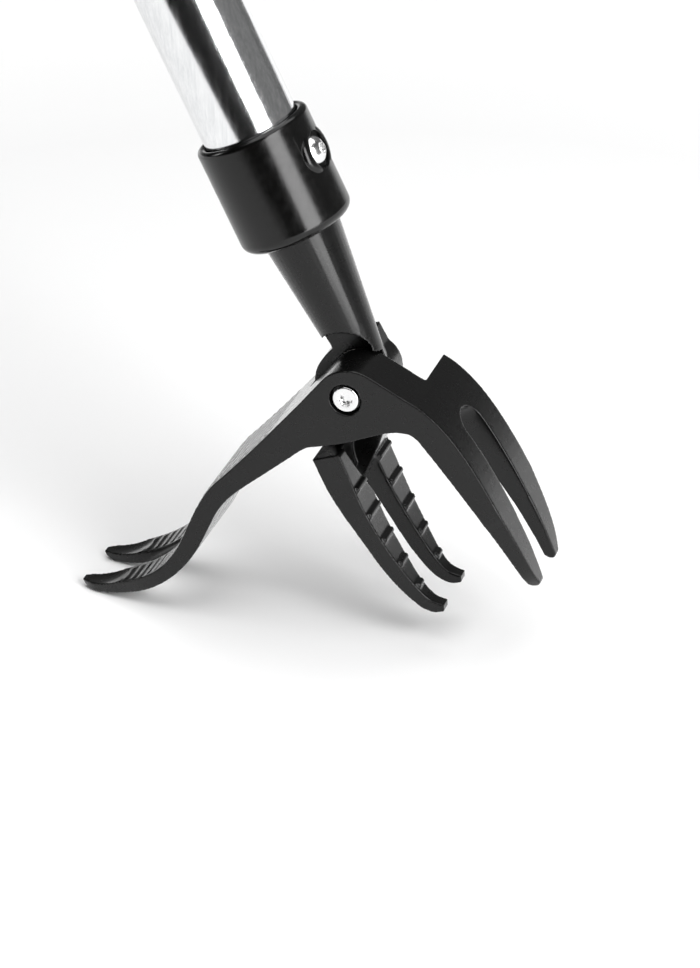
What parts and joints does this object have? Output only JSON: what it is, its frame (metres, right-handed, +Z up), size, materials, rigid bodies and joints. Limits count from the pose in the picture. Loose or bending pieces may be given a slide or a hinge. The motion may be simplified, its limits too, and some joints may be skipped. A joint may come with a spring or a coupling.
{
  "type": "weed puller",
  "caption": "Stand-up weed puller: an aluminium pole with a cast foot-lever claw whose fork closes on fixed ridged jaws when the pole is leaned.",
  "frame": {"origin": "on the ground, midway between the fork's tips and the top of the leaning pole, in the middle of the claw's width", "axes": "+Z up, +X from the foot lever towards the fork, +Y along the claw's pivot towards the lock nut"},
  "size_m": [0.4846, 0.0362, 0.9423],
  "materials": {
    "tube": "brushed lengthwise",
    "moulding": "satin",
    "casting": "satin powder coat",
    "fastener": "bright plated",
    "bushing": "turned",
    "wear_washer": "matt",
    "nut_ring": "matt",
    "grip": "matt"
  },
  "bodies": {
    "pole": {"pole_tube": "tube", "socket_collar": "moulding", "collar_screw": "fastener", "jaw_casting": "casting", "pivot_screw": "fastener", "pivot_bushing": "bushing", "wear_washer": "wear_washer", "flat_washer": "fastener", "lock_nut": "fastener", "lock_nut_ring": "nut_ring", "grip_ring": "moulding", "grip_sleeve": "grip", "end_cap": "moulding"},
    "claw": {"claw_rocker": "casting"}
  },
  "joints": [
    {"name": "rocker_pivot", "type": "hinge", "parent": "pole", "child": "claw", "pos_m": [0.18105, 0, 0.086], "axis": [0, 1, 0], "range_deg": [0, 21]}
  ]
}
